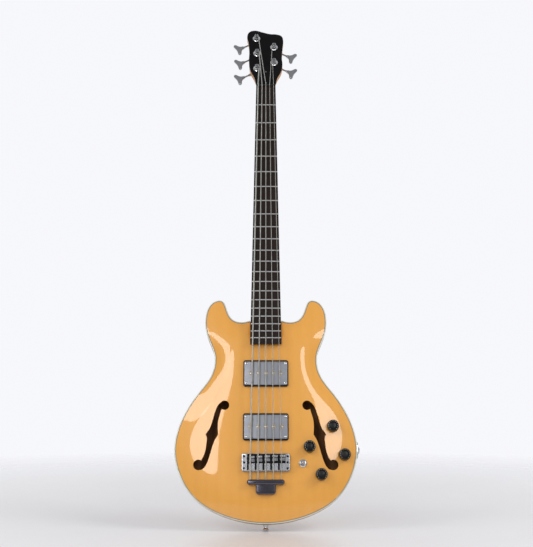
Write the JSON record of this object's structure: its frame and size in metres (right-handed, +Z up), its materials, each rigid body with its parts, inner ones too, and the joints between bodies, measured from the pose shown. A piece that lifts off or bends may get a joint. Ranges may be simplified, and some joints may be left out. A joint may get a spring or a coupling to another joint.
{
  "type": "electric bass guitar",
  "caption": "Semi-hollow electric bass guitar: arched top with f-holes on a centre block, glued-in neck, tuning machines, bridge with sliding saddles, pickups and turning controls.",
  "frame": {"origin": "middle of the outer face of the strap button at the bottom end of the body", "axes": "+Z runs up the neck to the headstock, -Y points to the strings and the player's side, +X is the treble side, on the right seen from the front"},
  "size_m": [0.3982, 0.091, 1.184],
  "materials": {
    "gold_top": "clear gloss lacquer over gold-stained wood",
    "maple": "satin lacquer",
    "inner_wood": "bare",
    "cream": "polished",
    "dark_board": "oiled",
    "black_gloss": "polished",
    "black_plastic": "satin",
    "pickup_cover": "brushed",
    "satin_chrome": "satin",
    "chrome": "polished",
    "dark_chrome": "smoked",
    "string_steel": "round wound",
    "nut_black": "satin"
  },
  "bodies": {
    "bass": {"back_binding": "cream", "back_lining": "inner_wood", "back_plate": "gold_top", "bridge_base": "satin_chrome", "bridge_pickup_ring": "black_plastic", "center_block": "inner_wood", "end_strap_button": "chrome", "fretboard": "dark_board", "headstock_overlay": "black_gloss", "heel_strap_button": "chrome", "jack_plate": "chrome", "neck": "maple", "neck_pickup_ring": "black_plastic", "nut": "nut_black", "output_jack": "chrome", "pot_1": "satin_chrome", "pot_2": "satin_chrome", "pot_3": "satin_chrome", "pot_4": "satin_chrome", "sides": "maple", "string_1": "string_steel", "string_2": "string_steel", "string_3": "string_steel", "string_4": "string_steel", "string_5": "string_steel", "tailpiece": "dark_chrome", "toggle_switch": "chrome", "top_binding": "cream", "top_lining": "inner_wood", "top_plate": "gold_top", "truss_rod": "satin_chrome", "truss_rod_cover": "black_gloss", "tuner_housing_1": "satin_chrome", "tuner_housing_2": "satin_chrome", "tuner_housing_3": "satin_chrome", "tuner_housing_4": "satin_chrome", "tuner_housing_5": "satin_chrome"},
    "tuner_key_1": {"tuner_key_1": "satin_chrome"},
    "tuner_post_1": {"tuner_post_1": "satin_chrome"},
    "tuner_key_2": {"tuner_key_2": "satin_chrome"},
    "tuner_post_2": {"tuner_post_2": "satin_chrome"},
    "tuner_key_3": {"tuner_key_3": "satin_chrome"},
    "tuner_post_3": {"tuner_post_3": "satin_chrome"},
    "tuner_key_4": {"tuner_key_4": "satin_chrome"},
    "tuner_post_4": {"tuner_post_4": "satin_chrome"},
    "tuner_key_5": {"tuner_key_5": "satin_chrome"},
    "tuner_post_5": {"tuner_post_5": "satin_chrome"},
    "knob_1": {"knob_1": "black_plastic"},
    "knob_2": {"knob_2": "black_plastic"},
    "knob_3": {"knob_3": "black_plastic"},
    "knob_4": {"knob_4": "black_plastic"},
    "toggle_lever": {"toggle_lever": "chrome"},
    "saddle_1": {"saddle_1": "satin_chrome"},
    "saddle_2": {"saddle_2": "satin_chrome"},
    "saddle_3": {"saddle_3": "satin_chrome"},
    "saddle_4": {"saddle_4": "satin_chrome"},
    "saddle_5": {"saddle_5": "satin_chrome"},
    "neck_pickup": {"neck_pickup": "pickup_cover"},
    "bridge_pickup": {"bridge_pickup": "pickup_cover"}
  },
  "joints": [
    {"name": "tuner_key_1_turn", "type": "hinge", "parent": "bass", "child": "tuner_key_1", "pos_m": [-0.04185, -0.00607, 1.06018], "axis": [-0.8829, -0.0976, -0.4592], "continuous": true},
    {"name": "tuner_post_1_turn", "type": "hinge", "parent": "bass", "child": "tuner_post_1", "pos_m": [-0.0209, -0.02644, 1.06779], "axis": [0, -0.9781, 0.2079], "continuous": true},
    {"name": "tuner_key_2_turn", "type": "hinge", "parent": "bass", "child": "tuner_key_2", "pos_m": [-0.04204, 0.00357, 1.10557], "axis": [-0.8829, -0.0976, -0.4592], "continuous": true},
    {"name": "tuner_post_2_turn", "type": "hinge", "parent": "bass", "child": "tuner_post_2", "pos_m": [-0.0211, -0.01679, 1.11318], "axis": [0, -0.9781, 0.2079], "continuous": true},
    {"name": "tuner_key_3_turn", "type": "hinge", "parent": "bass", "child": "tuner_key_3", "pos_m": [-0.04374, 0.01314, 1.15056], "axis": [-0.8829, -0.0976, -0.4592], "continuous": true},
    {"name": "tuner_post_3_turn", "type": "hinge", "parent": "bass", "child": "tuner_post_3", "pos_m": [-0.0228, -0.00723, 1.15817], "axis": [0, -0.9781, 0.2079], "continuous": true},
    {"name": "tuner_key_4_turn", "type": "hinge", "parent": "bass", "child": "tuner_key_4", "pos_m": [0.04054, 0.00746, 1.12386], "axis": [0.8829, -0.0976, -0.4592], "continuous": true},
    {"name": "tuner_post_4_turn", "type": "hinge", "parent": "bass", "child": "tuner_post_4", "pos_m": [0.0196, -0.0129, 1.13147], "axis": [0, -0.9781, 0.2079], "continuous": true},
    {"name": "tuner_key_5_turn", "type": "hinge", "parent": "bass", "child": "tuner_key_5", "pos_m": [0.04045, -0.00233, 1.07779], "axis": [0.8829, -0.0976, -0.4592], "continuous": true},
    {"name": "tuner_post_5_turn", "type": "hinge", "parent": "bass", "child": "tuner_post_5", "pos_m": [0.0195, -0.0227, 1.0854], "axis": [0, -0.9781, 0.2079], "continuous": true},
    {"name": "knob_1_turn", "type": "hinge", "parent": "bass", "child": "knob_1", "pos_m": [0.1438, -0.02748, 0.2156], "axis": [0, -1, 0], "range_deg": [-150, 150]},
    {"name": "knob_2_turn", "type": "hinge", "parent": "bass", "child": "knob_2", "pos_m": [0.0932, -0.03067, 0.1717], "axis": [0, -1, 0], "range_deg": [-150, 150]},
    {"name": "knob_3_turn", "type": "hinge", "parent": "bass", "child": "knob_3", "pos_m": [0.1681, -0.02512, 0.1553], "axis": [0, -1, 0], "range_deg": [-150, 150]},
    {"name": "knob_4_turn", "type": "hinge", "parent": "bass", "child": "knob_4", "pos_m": [0.1179, -0.02896, 0.1136], "axis": [0, -1, 0], "range_deg": [-150, 150]},
    {"name": "toggle_tip", "type": "hinge", "parent": "bass", "child": "toggle_lever", "pos_m": [0.0789, -0.03116, 0.1369], "axis": [1, 0, 0], "range_deg": [-14, 14]},
    {"name": "saddle_1_slide", "type": "slide", "parent": "bass", "child": "saddle_1", "axis": [0, 0, 1], "range_m": [-0.0025, 0.0019]},
    {"name": "saddle_2_slide", "type": "slide", "parent": "bass", "child": "saddle_2", "axis": [0, 0, 1], "range_m": [-0.0025, 0.0019]},
    {"name": "saddle_3_slide", "type": "slide", "parent": "bass", "child": "saddle_3", "axis": [0, 0, 1], "range_m": [-0.0025, 0.0019]},
    {"name": "saddle_4_slide", "type": "slide", "parent": "bass", "child": "saddle_4", "axis": [0, 0, 1], "range_m": [-0.0025, 0.0019]},
    {"name": "saddle_5_slide", "type": "slide", "parent": "bass", "child": "saddle_5", "axis": [0, 0, 1], "range_m": [-0.0025, 0.0019]},
    {"name": "neck_pickup_height", "type": "slide", "parent": "bass", "child": "neck_pickup", "axis": [0, -1, 0], "range_m": [-0.002, 0.002]},
    {"name": "bridge_pickup_height", "type": "slide", "parent": "bass", "child": "bridge_pickup", "axis": [0, -1, 0], "range_m": [-0.002, 0.002]}
  ],
  "couplings": [
    {"joint": "tuner_post_1_turn", "follows": "tuner_key_1_turn", "ratio": 0.05},
    {"joint": "tuner_post_2_turn", "follows": "tuner_key_2_turn", "ratio": 0.05},
    {"joint": "tuner_post_3_turn", "follows": "tuner_key_3_turn", "ratio": 0.05},
    {"joint": "tuner_post_4_turn", "follows": "tuner_key_4_turn", "ratio": -0.05},
    {"joint": "tuner_post_5_turn", "follows": "tuner_key_5_turn", "ratio": -0.05}
  ]
}
